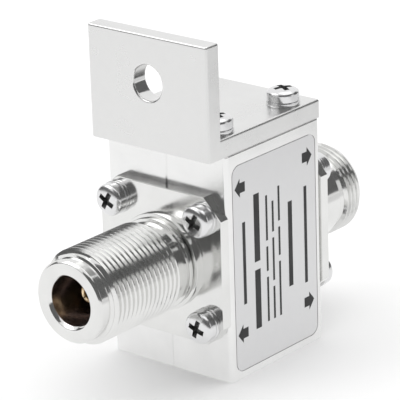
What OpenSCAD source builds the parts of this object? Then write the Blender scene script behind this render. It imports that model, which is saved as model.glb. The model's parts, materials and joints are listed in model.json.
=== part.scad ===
// Coaxial lightning arrestor: a split metal block with a threaded jack on the
// front (antenna side) and on the rear (equipment side), a right-angle mounting
// bracket on top, and the surge circuit in a chamber between the two halves.
//
// Frame: origin at the centre of the block's underside, +Z up, the front jack
// points along -Y, and the label is on the +X side. Millimetres.

/* [Block] */
// Width of the two halves together
block_w = 25.2; // [23:0.1:34]
// Depth from the front face to the rear face
block_d = 24.4; // [22:0.1:34]
// Height of the block
block_h = 39; // [37:0.5:50]
// Rounding of the four upright edges
edge_r = 0.8; // [0.3:0.1:1.5]
// Depth of the V groove along the seam between the halves
seam_groove = 0.25; // [0.1:0.05:0.5]

/* [Chamber] */
// Width of the chamber across the seam
chamber_w = 12.8; // [9.5:0.1:14]
// Wall between the chamber and the front or rear face
end_wall = 4; // [3:0.1:5]
// Depth of the chamber below the line's axis
chamber_below = 10; // [7:0.1:12]
// Height of the chamber above the line's axis
chamber_above = 9; // [8:0.1:12]

/* [Label plate] */
// Thickness of the label plate
label_t = 0.3; // [0.2:0.05:0.6]
// Depth of the recess that the plate lies in
label_recess = 0.3; // [0.2:0.05:0.6]
// Bare margin beside and below the plate
label_margin = 1.3; // [1:0.1:3]
// Bare margin above the plate
label_top_margin = 2; // [1:0.1:4]
// Corner radius of the plate
label_corner_r = 1.8; // [0.5:0.1:3]
// Gap around the plate in its recess
label_gap = 0.12; // [0.05:0.01:0.3]

/* [Jack flanges] */
// Side of the square flange
flange_w = 25.4; // [24.4:0.1:30]
// Thickness of the flange
flange_t = 1.9; // [1.2:0.1:3]
// Corner cut of the flange
flange_cut = 3.5; // [1:0.1:4]
// Distance between neighbouring flange screws
flange_pitch = 18.26; // [17:0.01:19]

/* [Jack interface] */
// Outer radius of the coupling thread
thread_r = 7.9375; // [7.6:0.0125:8.2]
// Distance from crest to crest of the thread
thread_pitch = 1.0583; // [0.8:0.0001:1.3]
// Depth of the thread's grooves
thread_depth = 0.6; // [0.3:0.05:0.7]
// Radius of the socket
socket_r = 4.06; // [3.8:0.01:4.4]
// Radius of the flared mouth of the socket
mouth_r = 4.6; // [4.5:0.05:5.5]
// Depth of the socket below the mouth
socket_depth = 9.15; // [8:0.05:11]
// Radius of the air line behind the socket
line_bore_r = 3.5; // [3:0.05:3.75]
// Radius of the seat that holds the insulator
bead_seat_r = 4; // [3.8:0.05:4.3]
// Radius of the spigot that enters the block
spigot_r = 4.8; // [4.6:0.05:5.5]
// Length of the insulator
bead_len = 5; // [3:0.1:6]
// Radius of the centre contact
contact_r = 1.52; // [1.3:0.01:1.8]
// Radius of the hole in the contact's tip
contact_hole_r = 0.83; // [0.6:0.01:1]
// Depth of the hole in the contact's tip
contact_hole_depth = 5; // [3:0.1:7]
// Distance from the mouth to the contact's tip
contact_recess = 4.4; // [4:0.05:6]
// Radius of the contact's collar behind the insulator
collar_r = 2.3; // [2:0.05:3]
// Length of the contact's collar
collar_len = 0.8; // [0.4:0.1:1.2]
// Length of the contact's tail inside the chamber
tail_len = 1; // [0.5:0.1:2]

/* [Antenna jack] */
// Length of the jack in front of the block
antenna_len = 24.5; // [20:0.1:32]
// Radius of the neck between flange and thread
neck_r = 7.1; // [6:0.05:7.4]
// Length of the neck
neck_len = 4; // [2.8:0.1:6]
// Radius of the shoulder where the neck meets the flange
shoulder_r = 8.2; // [7.6:0.1:9]
// Length of the shoulder
shoulder_len = 0.8; // [0.4:0.1:1.2]
// Radius of the raised ring on the neck
ring_r = 7.7; // [7.3:0.1:8.2]
// Length of the raised ring
ring_len = 0.7; // [0.3:0.1:1]
// Gap between the shoulder and the ring
ring_gap = 0.5; // [0.3:0.1:0.8]
// Radius of the plain pilot ahead of the thread
pilot_r = 6.9; // [6:0.05:7.4]
// Length of the pilot
pilot_len = 2.1; // [1:0.1:4]

/* [Equipment jack] */
// Length of the jack behind the block
equipment_len = 18.4; // [16:0.1:26]
// Radius of the plain shank
shank_r = 7.7; // [7:0.05:7.9]
// Length of the plain shank
shank_len = 10.4; // [6:0.1:11.5]
// Radius of the groove between shank and thread
groove_r = 7; // [6:0.05:7.4]
// Length of the groove
groove_len = 0.7; // [0.4:0.1:1.5]

/* [Screws] */
// Radius of the screws' shanks
screw_r = 1.42; // [1.2:0.01:1.5]
// Radius of the screws' heads
head_r = 2.7; // [2.3:0.05:3]
// Height of the screws' heads
head_h = 2.1; // [1.6:0.1:2.6]
// Straight part of the heads' sides
head_side = 1.1; // [0.5:0.1:1.4]
// Tip-to-tip width of the cross recess
recess_w = 3.2; // [2:0.1:3.6]
// Width of the recess's wings
recess_slot = 0.9; // [0.4:0.05:1.1]
// Depth of the recess
recess_depth = 1.2; // [0.6:0.1:1.4]
// Length of the shanks inside the block
screw_grip = 5.5; // [3:0.1:6]
// Radius of the clearance holes in flanges and bracket
clearance_r = 1.6; // [1.55:0.05:2]
// Outer radius of the split lock washers
washer_r = 2.8; // [2.4:0.05:3.1]
// Thickness of the lock washers
washer_t = 0.7; // [0.4:0.05:1]
// Width of the split in the lock washers
washer_split = 0.5; // [0.2:0.05:0.8]

/* [Bracket] */
// Width of the bracket
bracket_w = 24.8; // [24:0.1:32]
// Thickness of both legs
bracket_t = 3.175; // [2:0.025:4]
// Reach of the flat leg past the block's rear face
bracket_rear = 0.5; // [0:0.1:4]
// Height of the upright leg above the block
leg_h = 19.2; // [16:0.1:30]
// Radius of the mounting hole
hole_r = 3; // [2:0.05:3.5]
// Height of the mounting hole above the block
hole_up = 11.2; // [8:0.1:12]
// Distance between the left and right bracket screws
bracket_pitch = 17.8; // [15:0.1:18.5]
// Distance of the front screws from the block's front face
screws_front = 2.4; // [2.3:0.1:4]
// Gap between the upright leg and the front lock washers
leg_gap = 0.2; // [0.1:0.05:1]
// Distance of the rear screws from the block's rear face
screws_rear = 4.8; // [2.5:0.1:7]

/* [Surge circuit] */
// Width of the line bars
bar_w = 5; // [3:0.1:6]
// Height of the line bars
bar_h = 4; // [3.2:0.1:5]
// Radius of the blocking capacitor
capacitor_r = 3.6; // [2.5:0.1:4.2]
// Thickness of the blocking capacitor
capacitor_t = 2.4; // [1:0.1:4]
// Distance of the capacitor behind the block's middle
capacitor_y = 3.4; // [2.4:0.1:4]
// Radius of the gas tube's ceramic body
tube_r = 3.6; // [2.5:0.1:4.2]
// Radius of the gas space in the ceramic body
tube_bore_r = 1.8; // [1:0.1:2.2]
// Radius of the gas tube's end caps
tube_cap_r = 3.9; // [2.6:0.1:4.5]
// Thickness of the gas tube's end caps
tube_cap_t = 1.2; // [0.6:0.1:2]
// Distance of the gas tube in front of the block's middle
tube_y = 3; // [2.5:0.1:3.5]
// Radius of the coil's wire
wire_r = 0.4; // [0.25:0.05:0.5]
// Radius of the coil to the middle of its wire
coil_r = 1.9; // [1.3:0.1:2.4]
// Number of turns of the coil
coil_turns = 4; // [2:1:5]
// Straight lead at each end of the coil
coil_lead = 0.9; // [0.7:0.1:1.2]

/* [Fits] */
// Radial clearance of round fits
fit = 0.03; // [0.01:0.01:0.08]
// Chamfer on the tips of the jacks and beside the groove
chamfer = 0.4; // [0.2:0.05:0.6]

/* [Hidden] */
$fn = 64;
// Overlap of a cut with the space outside the piece
cut = 0.5;
// Height of the line's axis, at mid height of the block
axis_z = block_h / 2;
front_y = -block_d / 2;
rear_y = block_d / 2;
chamber_d = block_d - 2 * end_wall;
floor_z = axis_z - chamber_below;
ceiling_z = axis_z + chamber_above;
// Where the tails of the two contacts end in the chamber
tail_front_y = front_y + end_wall + tail_len;
tail_rear_y = rear_y - end_wall - tail_len;
capacitor_front_y = capacitor_y - capacitor_t / 2;
capacitor_rear_y = capacitor_y + capacitor_t / 2;
bar_bottom_z = axis_z - bar_h / 2;
bar_top_z = axis_z + bar_h / 2;
label_w = block_d - 2 * label_margin;
label_h = block_h - label_margin - label_top_margin;
label_mid_z = label_margin + label_h / 2;
// Least wall between a screw hole and the flange's cut corner, which limits the cut
hole_wall = 0.5;
corner_cut = min(flange_cut, flange_w - flange_pitch - sqrt(2) * (clearance_r + hole_wall));
// Section of one thread ridge, in shares of the thread's depth and pitch
ridge_section = [[0, 1 / 8], [1, 7 / 16], [1, 9 / 16], [0, 7 / 8]];
root_r = thread_r - thread_depth;
tapped_r = screw_r + fit;
// Depth of the tapped holes past the tips of the screws
tap_run = 0.6;
tapped_depth = screw_grip + tap_run;
// Chamfer on the tips of the screws
screw_tip = 0.25;
// Rows of bracket screws, and the upright leg's two faces ahead of the front row
front_row_y = front_y + screws_front;
rear_row_y = rear_y - screws_rear;
leg_back_y = front_row_y - washer_r - leg_gap;
leg_front_y = leg_back_y - bracket_t;

metal = [0.80, 0.80, 0.79];
plated = [0.84, 0.84, 0.82];
steel = [0.70, 0.70, 0.71];
gold = [0.83, 0.66, 0.30];
copper = [0.72, 0.45, 0.28];
white = [0.93, 0.93, 0.91];
ceramic = [0.88, 0.84, 0.76];
label_silver = [0.86, 0.86, 0.86];

// Rectangle with round corners, centred
module rounded_rect(w, h, r) {
    square([w - 2 * r, h], center = true);
    square([w, h - 2 * r], center = true);
    for (x = [-1, 1], y = [-1, 1])
        translate([x * (w / 2 - r), y * (h / 2 - r)])
            circle(r);
}

// Puts a profile drawn in Y and Z across the block, extruded towards +X
module across(width) {
    rotate([90, 0, 90])
        linear_extrude(width)
            children();
}

// Stands a jack's own axis on the front face, pointing forwards
module on_front() {
    translate([0, front_y, axis_z])
        rotate([90, 0, 0])
            children();
}

// Stands a jack's own axis on the rear face, pointing backwards
module on_rear() {
    translate([0, rear_y, axis_z])
        rotate([-90, 0, 0])
            children();
}

// Copies onto the four screw places of a flange
module at_flange_screws() {
    for (x = [-1, 1], y = [-1, 1])
        translate([x * flange_pitch / 2, y * flange_pitch / 2, 0])
            children();
}

// Copies onto the four screw places of the bracket, at the block's top
module at_bracket_screws() {
    for (x = [-1, 1], y = [front_row_y, rear_row_y])
        translate([x * bracket_pitch / 2, y, block_h])
            children();
}

// Pan-head screw with a cross recess; the head's underside is at z = 0
module pan_screw(reach) {
    steps = 8;
    dome = head_h - head_side;
    difference() {
        rotate_extrude()
            polygon(concat(
                [[0, -reach], [screw_r - screw_tip, -reach], [screw_r, -reach + screw_tip],
                 [screw_r, 0], [head_r, 0]],
                [for (i = [0 : steps])
                    [head_r * cos(90 * i / steps), head_side + dome * sin(90 * i / steps)]]));
        for (turn = [45, 135])
            rotate([0, 0, turn])
                translate([-recess_w / 2, -recess_slot / 2, head_h - recess_depth])
                    cube([recess_w, recess_slot, recess_depth + cut]);
    }
}

// Split lock washer, resting on z = 0
module lock_washer() {
    difference() {
        cylinder(r = washer_r, h = washer_t);
        translate([0, 0, -cut])
            cylinder(r = clearance_r, h = washer_t + 2 * cut);
        translate([0, -washer_split / 2, -cut])
            cube([washer_r + cut, washer_split, washer_t + 2 * cut]);
    }
}

// Square flange with cut corners and four clearance holes
module flange() {
    half = flange_w / 2;
    inner = half - corner_cut;
    difference() {
        linear_extrude(flange_t)
            polygon([[inner, -half], [half, -inner], [half, inner], [inner, half],
                     [-inner, half], [-half, inner], [-half, -inner], [-inner, -half]]);
        at_flange_screws()
            translate([0, 0, -cut])
                cylinder(r = clearance_r, h = flange_t + 2 * cut);
    }
}

// Outline of the coupling thread between two heights: rings of its true section and
// pitch, in place of its helix
function thread_ridges(low, high) =
    let (count = floor((high - low) / thread_pitch),
         first = (low + high - count * thread_pitch) / 2)
    [for (i = [0 : count - 1], corner = ridge_section)
        [root_r + thread_depth * corner.x, first + thread_pitch * (i + corner.y)]];

// Everything that is bored out of a jack of the given length
module jack_bore(length) {
    socket_z = length - socket_depth;
    flare = mouth_r - socket_r;
    bead_front = -end_wall + collar_len + bead_len;
    rotate_extrude()
        polygon([[0, -end_wall - cut], [bead_seat_r, -end_wall - cut],
                 [bead_seat_r, bead_front], [line_bore_r, bead_front],
                 [line_bore_r, socket_z], [socket_r, socket_z],
                 [socket_r, length - flare], [mouth_r, length],
                 [mouth_r, length + cut], [0, length + cut]]);
}

// Insulating bead against its shoulder in the jack
module bead() {
    translate([0, 0, -end_wall + collar_len])
        difference() {
            cylinder(r = bead_seat_r - fit, h = bead_len);
            translate([0, 0, -cut])
                cylinder(r = contact_r + fit, h = bead_len + 2 * cut);
        }
}

// Centre contact with a collar behind the bead and a socket in its tip
module centre_contact(length) {
    tip_z = length - contact_recess;
    hole_z = tip_z - contact_hole_depth;
    rotate_extrude()
        polygon([[0, -end_wall - tail_len], [contact_r, -end_wall - tail_len],
                 [contact_r, -end_wall], [collar_r, -end_wall],
                 [collar_r, -end_wall + collar_len], [contact_r, -end_wall + collar_len],
                 [contact_r, tip_z], [contact_hole_r, tip_z],
                 [contact_hole_r, hole_z], [0, hole_z]]);
}

// The flange's four screws, through washers, flange and into the block
module flange_screws() {
    at_flange_screws()
        translate([0, 0, flange_t + washer_t])
            pan_screw(washer_t + flange_t + screw_grip);
}

module flange_washers() {
    at_flange_screws()
        translate([0, 0, flange_t])
            lock_washer();
}

// Block with chamber, jack bores and tapped holes, before it is split
module block() {
    difference() {
        linear_extrude(block_h)
            rounded_rect(block_w, block_d, edge_r);
        translate([-chamber_w / 2, -chamber_d / 2, floor_z])
            cube([chamber_w, chamber_d, chamber_below + chamber_above]);
        translate([0, front_y - cut, axis_z])
            rotate([-90, 0, 0])
                cylinder(r = spigot_r + fit, h = block_d + 2 * cut);
        on_front() tapped_holes();
        on_rear() tapped_holes();
        at_bracket_screws()
            translate([0, 0, -tapped_depth])
                cylinder(r = tapped_r, h = tapped_depth + cut);
        seam_grooves();
    }
}

module tapped_holes() {
    at_flange_screws()
        translate([0, 0, -tapped_depth])
            cylinder(r = tapped_r, h = tapped_depth + cut);
}

// V grooves along the seam on the front, rear and top faces
module seam_grooves() {
    side = seam_groove * sqrt(2);
    for (y = [front_y, rear_y])
        translate([0, y, block_h / 2])
            rotate([0, 0, 45])
                cube([side, side, block_h + 2 * cut], center = true);
    translate([0, 0, block_h])
        rotate([0, 45, 0])
            cube([side, block_d + 2 * cut, side], center = true);
}

// One side of the block: 1 for the right half, -1 for the left half
module half(side) {
    intersection() {
        block();
        translate([side > 0 ? 0 : -block_w, -block_d, -cut])
            cube([block_w, 2 * block_d, block_h + 2 * cut]);
    }
}

module housing_right() {
    color(metal)
        difference() {
            half(1);
            translate([block_w / 2 - label_recess, 0, label_mid_z])
                across(label_recess + cut)
                    rounded_rect(label_w, label_h, label_corner_r);
        }
}

module housing_left() {
    color(metal)
        half(-1);
}

module label_plate() {
    color(label_silver)
        translate([block_w / 2 - label_recess, 0, label_mid_z])
            across(label_t)
                rounded_rect(label_w - 2 * label_gap, label_h - 2 * label_gap,
                             label_corner_r - label_gap);
}

module mounting_bracket() {
    back = rear_y + bracket_rear;
    color(metal)
        difference() {
            translate([-bracket_w / 2, 0, block_h])
                across(bracket_w)
                    polygon([[leg_front_y, 0], [back, 0], [back, bracket_t],
                             [leg_back_y, bracket_t], [leg_back_y, leg_h],
                             [leg_front_y, leg_h]]);
            translate([0, leg_front_y - cut, block_h + hole_up])
                rotate([-90, 0, 0])
                    cylinder(r = hole_r, h = bracket_t + 2 * cut);
            at_bracket_screws()
                translate([0, 0, -cut])
                    cylinder(r = clearance_r, h = bracket_t + 2 * cut);
        }
}

module bracket_screws() {
    color(steel)
        at_bracket_screws()
            translate([0, 0, bracket_t + washer_t])
                pan_screw(washer_t + bracket_t + screw_grip);
}

module bracket_lock_washers() {
    color(steel)
        at_bracket_screws()
            translate([0, 0, bracket_t])
                lock_washer();
}

// Long jack: shoulder, ringed neck, thread and a plain pilot at the tip
module antenna_jack() {
    shoulder_z = flange_t + shoulder_len;
    ring_z = shoulder_z + ring_gap;
    ring_end = ring_z + ring_len;
    thread_z = flange_t + neck_len;
    pilot_z = antenna_len - pilot_len;
    color(plated)
        on_front()
            difference() {
                union() {
                    flange();
                    rotate_extrude()
                        polygon(concat(
                            [[0, -end_wall], [spigot_r, -end_wall], [spigot_r, 0],
                             [shoulder_r, 0], [shoulder_r, shoulder_z],
                             [neck_r, shoulder_z], [neck_r, ring_z], [ring_r, ring_z],
                             [ring_r, ring_end], [neck_r, ring_end], [neck_r, thread_z]],
                            thread_ridges(thread_z, pilot_z),
                            [[pilot_r, pilot_z], [pilot_r, antenna_len - chamfer],
                             [pilot_r - chamfer, antenna_len], [0, antenna_len]]));
                }
                jack_bore(antenna_len);
            }
}

module antenna_insulator() {
    color(white)
        on_front() bead();
}

module antenna_contact() {
    color(gold)
        on_front() centre_contact(antenna_len);
}

module antenna_flange_screws() {
    color(steel)
        on_front() flange_screws();
}

module antenna_lock_washers() {
    color(steel)
        on_front() flange_washers();
}

// Short jack: plain shank, groove and thread to the tip
module equipment_jack() {
    groove_z = flange_t + shank_len;
    thread_z = groove_z + groove_len;
    color(plated)
        on_rear()
            difference() {
                union() {
                    flange();
                    rotate_extrude()
                        polygon(concat(
                            [[0, -end_wall], [spigot_r, -end_wall], [spigot_r, 0],
                             [shank_r, 0], [shank_r, groove_z - chamfer],
                             [groove_r, groove_z], [groove_r, thread_z]],
                            thread_ridges(thread_z, equipment_len - chamfer / 2),
                            [[root_r - chamfer, equipment_len], [0, equipment_len]]));
                }
                jack_bore(equipment_len);
            }
}

module equipment_insulator() {
    color(white)
        on_rear() bead();
}

module equipment_contact() {
    color(gold)
        on_rear() centre_contact(equipment_len);
}

module equipment_flange_screws() {
    color(steel)
        on_rear() flange_screws();
}

module equipment_lock_washers() {
    color(steel)
        on_rear() flange_washers();
}

// Bar from the front contact's tail to the capacitor
module antenna_line_bar() {
    color(gold)
        translate([-bar_w / 2, tail_front_y, bar_bottom_z])
            cube([bar_w, capacitor_front_y - tail_front_y, bar_h]);
}

// Bar from the capacitor to the rear contact's tail
module equipment_line_bar() {
    color(gold)
        translate([-bar_w / 2, capacitor_rear_y, bar_bottom_z])
            cube([bar_w, tail_rear_y - capacitor_rear_y, bar_h]);
}

module blocking_capacitor() {
    color(copper)
        translate([0, capacitor_front_y, axis_z])
            rotate([-90, 0, 0])
                cylinder(r = capacitor_r, h = capacitor_t);
}

// Ceramic body between the two caps, under the front bar
module gas_tube_body() {
    color(ceramic)
        translate([0, -tube_y, floor_z + tube_cap_t])
            difference() {
                height = bar_bottom_z - floor_z - 2 * tube_cap_t;
                cylinder(r = tube_r, h = height);
                translate([0, 0, -cut])
                    cylinder(r = tube_bore_r, h = height + 2 * cut);
            }
}

module gas_tube_line_cap() {
    color(steel)
        translate([0, -tube_y, bar_bottom_z - tube_cap_t])
            cylinder(r = tube_cap_r, h = tube_cap_t);
}

module gas_tube_ground_cap() {
    color(steel)
        translate([0, -tube_y, floor_z])
            cylinder(r = tube_cap_r, h = tube_cap_t);
}

// Points along the coil: a lead off the bar, the turns, a lead to the ceiling
function coil_path() =
    let (low = bar_top_z + coil_lead, high = ceiling_z - coil_lead, steps = 12 * coil_turns)
    concat(
        [[coil_r, 0, bar_top_z]],
        [for (i = [0 : steps])
            let (turn = 360 * coil_turns * i / steps)
            [coil_r * cos(turn), coil_r * sin(turn), low + (high - low) * i / steps]],
        [[coil_r, 0, ceiling_z]]);

function unit(v) = v / norm(v);

// Direction of a path at point i; the two ends stand upright
function heading(path, i) =
    i == 0 || i == len(path) - 1 ? [0, 0, 1] : unit(path[i + 1] - path[i - 1]);

// Ring of the wire at point i, with one axis pointing away from the coil's middle
function ring(path, i, sides) =
    let (ahead = heading(path, i),
         out = unit([path[i].x, path[i].y, 0]),
         across = unit(cross(ahead, out)),
         up = cross(across, ahead))
    [for (k = [0 : sides - 1])
        path[i] + wire_r * (cos(360 * k / sides) * up + sin(360 * k / sides) * across)];

// Wire swept along a path of points
module wire(path, sides) {
    rings = len(path);
    polyhedron(
        points = [for (i = [0 : rings - 1]) each ring(path, i, sides)],
        faces = concat(
            [[for (k = [0 : sides - 1]) sides - 1 - k]],
            [for (i = [0 : rings - 2], k = [0 : sides - 1])
                [i * sides + k, i * sides + (k + 1) % sides,
                 (i + 1) * sides + (k + 1) % sides, (i + 1) * sides + k]],
            [[for (k = [0 : sides - 1]) (rings - 1) * sides + k]]));
}

module bleed_coil() {
    color(copper)
        translate([0, -tube_y, 0])
            wire(coil_path(), 8);
}

housing_right();
housing_left();
label_plate();
mounting_bracket();
bracket_screws();
bracket_lock_washers();
antenna_jack();
antenna_insulator();
antenna_contact();
antenna_flange_screws();
antenna_lock_washers();
equipment_jack();
equipment_insulator();
equipment_contact();
equipment_flange_screws();
equipment_lock_washers();
antenna_line_bar();
equipment_line_bar();
blocking_capacitor();
gas_tube_body();
gas_tube_line_cap();
gas_tube_ground_cap();
bleed_coil();
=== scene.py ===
"""Looks of the coax lightning arrestor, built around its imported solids.

The file is laid out as an add-on and is run as a script. Lengths are in metres, in
the solids' own frame: the front jack points along -Y and the label is on the +X side.
"""

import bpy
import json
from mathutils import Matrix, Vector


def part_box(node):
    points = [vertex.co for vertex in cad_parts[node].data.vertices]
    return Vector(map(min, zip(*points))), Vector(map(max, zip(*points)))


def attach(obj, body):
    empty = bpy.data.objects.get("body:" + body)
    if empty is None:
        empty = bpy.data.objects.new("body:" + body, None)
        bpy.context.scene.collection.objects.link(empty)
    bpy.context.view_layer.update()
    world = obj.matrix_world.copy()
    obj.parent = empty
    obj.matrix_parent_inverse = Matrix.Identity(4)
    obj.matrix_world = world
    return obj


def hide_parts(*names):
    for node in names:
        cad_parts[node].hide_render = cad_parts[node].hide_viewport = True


bl_info = {
    "name": "Coax lightning arrestor looks",
    "version": (1, 0, 0),
    "blender": (4, 5, 0),
    "location": "View3D > Sidebar > Arrestor",
    "description": "Threads, edges, print and finishes for the arrestor's solids",
    "category": "Object",
}

import json
import math

import bmesh
import bpy
from bpy.props import FloatProperty, FloatVectorProperty, PointerProperty
from mathutils import Matrix, Vector

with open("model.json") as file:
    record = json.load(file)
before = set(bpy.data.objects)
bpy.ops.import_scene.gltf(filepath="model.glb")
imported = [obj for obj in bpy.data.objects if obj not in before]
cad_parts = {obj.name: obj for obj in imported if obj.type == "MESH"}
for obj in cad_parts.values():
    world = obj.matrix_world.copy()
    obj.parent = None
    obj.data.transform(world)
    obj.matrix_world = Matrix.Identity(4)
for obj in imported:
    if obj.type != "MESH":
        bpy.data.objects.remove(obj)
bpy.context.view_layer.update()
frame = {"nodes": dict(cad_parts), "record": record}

MM = 0.001
# Sides of a turned piece, and of a small round piece such as a screw
TURNED_SIDES = 128
SMALL_SIDES = 64
# Faces that turn by less than this are one flat face
FLAT = math.radians(0.5)
# An edge that turns by more than this is a corner, and can be broken
CORNER = math.radians(40)
# An edge of a finished piece that turns by more than this is shaded sharp
SHARP = math.radians(35)
# Vertices closer than this are one
WELD = 2e-6
# The rim of a round hole in a solid has edges shorter than this
RIM_EDGE = MM
# Angles of the two slots of a cross, in degrees
CROSS = (45, 135)
# Where a thread leaves its root, reaches its crest, leaves it and is back, in shares of the pitch
FLANKS = (0.125, 0.4375, 0.5625, 0.875)
# Turns at a thread's ends that stay at the root, and turns over which its ridge then rises
THREAD_LEAD = 0.5
THREAD_RISE = 0.2

# Roughness of each finish, and the part by which it varies to both sides
ROUGHNESS = {
    "block_plate": 0.2, "bracket_satin": 0.3, "hole_plate": 0.1, "label_foil": 0.36,
    "label_ink": 0.5, "jack_plate": 0.13, "bore_painted_shade": 0.24, "contact_gold": 0.2,
    "insulator_white": 0.45, "screw_plate": 0.2, "recess_painted_shade": 0.45, "line_brass": 0.25,
    "tube_cap_steel": 0.3, "capacitor_ceramic": 0.4, "tube_ceramic": 0.35, "coil_copper": 0.22,
    "floor_paper": 0.9, "card_felt": 0.9, "card_paper": 0.9,
}
ROUGHNESS_CHANGE = 0.15
# Detail of a finish's fine grain and of its clouds, and the strength of the grain
GRAIN_DETAIL = 3.0
CLOUD_DETAIL = 4.0
GRAIN_STRENGTH = 0.6
# Middle range of a noise, which is spread over a finish's own range
NOISE_LOW, NOISE_HIGH = 0.3, 0.7
# Places of a Mix node's colour sockets, whose names it uses more than once
MIX_A, MIX_B, MIX_RESULT = 6, 7, 2

BLOCK_LOW, BLOCK_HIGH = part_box("housing_right")
FRONT_Y, REAR_Y, BLOCK_TOP = BLOCK_LOW.y, BLOCK_HIGH.y, BLOCK_HIGH.z
LINE_Z = BLOCK_TOP / 2
LABEL_LOW, LABEL_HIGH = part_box("label_plate")
FLANGE_SIDE = 2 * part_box("antenna_jack")[1].x
FRONT_REACH = FRONT_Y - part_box("antenna_jack")[0].y
REAR_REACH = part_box("equipment_jack")[1].y - REAR_Y

# A piece made round +Z is stood on the block's front, rear or top by these
ON_FRONT = Matrix.Translation((0, FRONT_Y, LINE_Z)) @ Matrix.Rotation(math.radians(90), 4, "X")
ON_REAR = Matrix.Translation((0, REAR_Y, LINE_Z)) @ Matrix.Rotation(math.radians(-90), 4, "X")
ON_TOP = Matrix.Translation((0, 0, BLOCK_TOP))


def length(name, text, millimetres):
    """A length that a user can set, with its default in millimetres."""
    return FloatProperty(name=name, description=text, default=millimetres * MM, min=0,
                         unit="LENGTH", subtype="DISTANCE", precision=5)


def colour(name, text, shade):
    """A colour that a user can set."""
    return FloatVectorProperty(name=name, description=text, default=shade, min=0, max=1,
                               size=3, subtype="COLOR")


def amount(name, text, value, high=1.0):
    """A plain factor that a user can set."""
    return FloatProperty(name=name, description=text, default=value, min=0, max=high,
                         subtype="FACTOR")


class ArrestorJackSizes(bpy.types.PropertyGroup):
    """Sizes of the two threaded jacks"""
    thread_r: length("Thread radius", "Outer radius of the coupling thread", 7.9375)
    thread_pitch: length("Thread pitch", "Distance from crest to crest", 1.0583)
    thread_depth: length("Thread depth", "Height of the thread's ridge", 0.6)
    thread_start: FloatProperty(name="Thread start", description="Turn of the thread on its axis",
                                default=math.radians(-90), subtype="ANGLE")
    flange_t: length("Flange thickness", "Thickness of the square flange", 1.9)
    flange_cut: length("Corner cut", "Cut across the flange's corners", 3.5)
    screw_pitch: length("Screw pitch", "Distance between the flange's screws", 18.26)
    screw_hole_r: length("Screw hole", "Radius of the flange's screw holes", 1.6)
    socket_r: length("Socket radius", "Radius of the socket", 4.06)
    mouth_r: length("Mouth radius", "Radius of the socket's flared mouth", 4.6)
    socket_depth: length("Socket depth", "Depth of the socket", 9.15)
    line_bore_r: length("Air line", "Radius of the bore behind the socket", 3.5)
    seat_r: length("Bead seat", "Radius of the insulator's seat", 4.0)
    seat_end: length("Bead front", "Front of the insulator, from the block's face", 1.8)
    spigot_r: length("Spigot radius", "Radius of the end inside the block", 4.8)
    spigot_len: length("Spigot length", "Reach of the spigot into the block", 4.0)
    edge: length("Edge break", "Width of the barrel's broken edges", 0.07)
    flange_edge: length("Flange edge", "Width of the flange's broken edges", 0.14)


class ArrestorBarrelSizes(bpy.types.PropertyGroup):
    """Sizes of the front jack's neck and pilot and the rear jack's shank"""
    neck_r: length("Neck radius", "Radius of the front jack's neck", 7.1)
    neck_len: length("Neck length", "Length of the neck ahead of the flange", 4.0)
    shoulder_r: length("Shoulder radius", "Radius of the shoulder on the flange", 8.2)
    shoulder_len: length("Shoulder length", "Length of the shoulder", 0.8)
    ring_r: length("Ring radius", "Radius of the raised ring on the neck", 7.7)
    ring_len: length("Ring length", "Length of the raised ring", 0.7)
    ring_gap: length("Ring gap", "Gap between shoulder and ring", 0.5)
    pilot_r: length("Pilot radius", "Radius of the plain tip", 6.9)
    pilot_len: length("Pilot length", "Length of the plain tip", 2.1)
    chamfer: length("Chamfer", "Chamfer at the tips", 0.4)
    shank_r: length("Shank radius", "Radius of the rear jack's shank", 7.7)
    shank_len: length("Shank length", "Length of the rear jack's shank", 10.4)
    groove_r: length("Groove radius", "Radius of the groove behind the thread", 7.0)
    groove_len: length("Groove length", "Length of the groove", 0.7)
    cone_drop: length("Cone drop", "Rear thread's crest to the foot of the cone at its end", 0.8)
    cone_len: length("Cone length", "Length of the cone at the rear thread's end", 0.2)
    face_drop: length("Face drop", "Rear thread's crest to the rim of the rear face", 0.96)


class ArrestorContactSizes(bpy.types.PropertyGroup):
    """Sizes of the centre contacts"""
    contact_r: length("Contact radius", "Radius of the contact", 1.52)
    hole_r: length("Contact hole", "Radius of the hole in its tip", 0.83)
    hole_depth: length("Hole depth", "Depth of the hole in its tip", 5.0)
    recess: length("Recess", "Distance of the tip behind the jack's mouth", 4.4)
    collar_r: length("Collar radius", "Radius of the collar behind the insulator", 2.3)
    collar_len: length("Collar length", "Length of the collar", 0.8)
    tail_len: length("Tail length", "Reach of the tail into the chamber", 1.0)
    nose: length("Nose", "Height of the rounded tip", 0.3)
    slot_w: length("Slot width", "Width of the slots between the fingers", 0.15)
    slot_len: length("Slot length", "Length of the slots", 3.6)


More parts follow.
